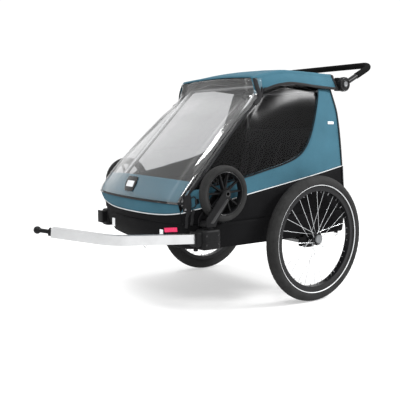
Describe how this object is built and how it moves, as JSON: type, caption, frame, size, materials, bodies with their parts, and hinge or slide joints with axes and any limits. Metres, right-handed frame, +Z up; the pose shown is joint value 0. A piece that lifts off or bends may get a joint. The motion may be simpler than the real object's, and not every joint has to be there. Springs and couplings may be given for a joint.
{
  "type": "child bicycle trailer",
  "caption": "Enclosed child trailer towed by a hitch arm, with spoked wheels, stowed stroller wheels, a tilting push bar and a folding canopy frame.",
  "frame": {"origin": "on the ground under the middle of the overall length and width", "axes": "+X to the trailer's left, +Y to its rear (the hitch is at -Y), +Z up"},
  "size_m": [0.782, 1.5, 0.968],
  "materials": {
    "aluminium": "satin anodised",
    "steel": "plain",
    "tyre_rubber": "matt black",
    "black_plastic": "fine moulded grain",
    "grey_plastic": "fine moulded grain",
    "black_aluminium": "satin black anodised",
    "black_metal": "satin powder coat",
    "foam_grip": "closed cell foam",
    "black_fabric": "coated woven polyester",
    "blue_fabric": "coated woven polyester",
    "clear_film": "clear glossy film",
    "smoked_film": "smoked glossy film",
    "seat_fabric": "woven polyester",
    "webbing": "woven webbing",
    "pad_fabric": "padded knit",
    "white_reflector": "moulded prism reflector",
    "red_reflector": "moulded prism reflector",
    "pull_webbing": "woven webbing"
  },
  "bodies": {
    "base": {"side_rails": "aluminium", "cross_rails": "aluminium", "axle_beam": "aluminium", "axle_brackets": "black_plastic", "frame_brackets": "steel", "wheel_axles": "steel", "floor_panel": "black_fabric", "tub_shell": "black_fabric", "rear_panel": "black_fabric", "side_panel_left": "blue_fabric", "side_panel_right": "blue_fabric", "side_window_left": "smoked_film", "side_window_right": "smoked_film", "corner_socket_left": "black_plastic", "corner_socket_right": "black_plastic", "seat_base": "seat_fabric", "seat_back": "seat_fabric", "seat_frame": "aluminium", "harness_straps": "webbing", "harness_buckles": "pad_fabric", "front_reflectors": "white_reflector", "rear_reflectors": "red_reflector", "pull_tab": "pull_webbing", "tie_rings": "steel"},
    "canopy_frame": {"hoop_left": "aluminium", "hoop_right": "aluminium", "handle_housing_left": "black_plastic", "handle_housing_right": "black_plastic", "canopy_crossbars": "aluminium", "leg_brackets": "black_plastic", "roof_cover": "blue_fabric", "windshield": "clear_film", "front_panel": "blue_fabric"},
    "rear_legs": {"rear_legs": "aluminium"},
    "handlebar": {"handlebar_tube": "black_aluminium", "handlebar_grip": "foam_grip"},
    "brake_pedal": {"brake_pedal": "black_plastic"},
    "hitch_arm": {"hitch_arm": "aluminium", "hitch_ball": "black_metal"},
    "hitch_latch": {"hitch_latch": "black_plastic"},
    "main_wheel_left": {"tyre_left": "tyre_rubber", "rim_left": "black_aluminium", "spokes_left": "steel", "hub_left": "black_plastic"},
    "wheel_button_left": {"wheel_button_left": "grey_plastic"},
    "handle_button_left": {"handle_button_left": "grey_plastic"},
    "caster_stem_left": {"caster_stem_left": "black_plastic"},
    "caster_fork_left": {"caster_fork_left": "black_plastic"},
    "caster_wheel_left": {"caster_tyre_left": "tyre_rubber", "caster_core_left": "black_plastic"},
    "main_wheel_right": {"tyre_right": "tyre_rubber", "rim_right": "black_aluminium", "spokes_right": "steel", "hub_right": "black_plastic"},
    "wheel_button_right": {"wheel_button_right": "grey_plastic"},
    "handle_button_right": {"handle_button_right": "grey_plastic"},
    "caster_stem_right": {"caster_stem_right": "black_plastic"},
    "caster_fork_right": {"caster_fork_right": "black_plastic"},
    "caster_wheel_right": {"caster_tyre_right": "tyre_rubber", "caster_core_right": "black_plastic"}
  },
  "joints": [
    {"name": "canopy_fold", "type": "hinge", "parent": "base", "child": "canopy_frame", "pos_m": [0, -0.225, 0.4], "axis": [1, 0, 0], "range_deg": [-30, 0], "deforming": ["side_panel_left", "side_panel_right", "side_window_left", "side_window_right", "rear_panel", "seat_back", "harness_straps", "harness_buckles"]},
    {"name": "rear_leg_fold", "type": "hinge", "parent": "canopy_frame", "child": "rear_legs", "pos_m": [0, 0.478, 0.838], "axis": [1, 0, 0], "range_deg": [-78, 0]},
    {"name": "handlebar_tilt", "type": "hinge", "parent": "canopy_frame", "child": "handlebar", "pos_m": [0, 0.556, 0.865], "axis": [1, 0, 0], "range_deg": [-40, 60]},
    {"name": "brake_pedal_press", "type": "hinge", "parent": "base", "child": "brake_pedal", "pos_m": [0, 0.357, 0.23], "axis": [1, 0, 0], "range_deg": [-15, 12]},
    {"name": "hitch_arm_slide", "type": "slide", "parent": "base", "child": "hitch_arm", "axis": [0, -0.9966, 0.0828], "range_m": [0, 0.025]},
    {"name": "hitch_latch_pull", "type": "slide", "parent": "base", "child": "hitch_latch", "axis": [0, 0, -1], "range_m": [0, 0.006], "stiffness_N_per_m": 400, "springref_m": -0.004},
    {"name": "main_wheel_spin_left", "type": "hinge", "parent": "base", "child": "main_wheel_left", "pos_m": [0.3675, 0.325, 0.25], "axis": [1, 0, 0], "continuous": true},
    {"name": "wheel_button_press_left", "type": "slide", "parent": "base", "child": "wheel_button_left", "axis": [-1, 0, 0], "range_m": [0, 0.003], "stiffness_N_per_m": 600, "springref_m": -0.003},
    {"name": "handle_button_press_left", "type": "slide", "parent": "handlebar", "child": "handle_button_left", "axis": [-1, 0, 0], "range_m": [0, 0.0025], "stiffness_N_per_m": 500, "springref_m": -0.003},
    {"name": "caster_lift_left", "type": "slide", "parent": "base", "child": "caster_stem_left", "axis": [0, 0, 1], "range_m": [0, 0.05]},
    {"name": "caster_swivel_left", "type": "hinge", "parent": "caster_stem_left", "child": "caster_fork_left", "pos_m": [0.35, -0.192, 0.36], "axis": [0, 0, 1], "range_deg": [-90, 0]},
    {"name": "caster_spin_left", "type": "hinge", "parent": "caster_fork_left", "child": "caster_wheel_left", "pos_m": [0.347, -0.12, 0.455], "axis": [1, 0, 0], "continuous": true},
    {"name": "main_wheel_spin_right", "type": "hinge", "parent": "base", "child": "main_wheel_right", "pos_m": [-0.3675, 0.325, 0.25], "axis": [1, 0, 0], "continuous": true},
    {"name": "wheel_button_press_right", "type": "slide", "parent": "base", "child": "wheel_button_right", "axis": [1, 0, 0], "range_m": [0, 0.003], "stiffness_N_per_m": 600, "springref_m": -0.003},
    {"name": "handle_button_press_right", "type": "slide", "parent": "handlebar", "child": "handle_button_right", "axis": [1, 0, 0], "range_m": [0, 0.0025], "stiffness_N_per_m": 500, "springref_m": -0.003},
    {"name": "caster_lift_right", "type": "slide", "parent": "base", "child": "caster_stem_right", "axis": [0, 0, 1], "range_m": [0, 0.05]},
    {"name": "caster_swivel_right", "type": "hinge", "parent": "caster_stem_right", "child": "caster_fork_right", "pos_m": [-0.35, -0.192, 0.36], "axis": [0, 0, 1], "range_deg": [0, 90]},
    {"name": "caster_spin_right", "type": "hinge", "parent": "caster_fork_right", "child": "caster_wheel_right", "pos_m": [-0.347, -0.12, 0.455], "axis": [1, 0, 0], "continuous": true}
  ],
  "couplings": [
    {"joint": "rear_leg_fold", "follows": "canopy_fold", "ratio": 2.6}
  ]
}
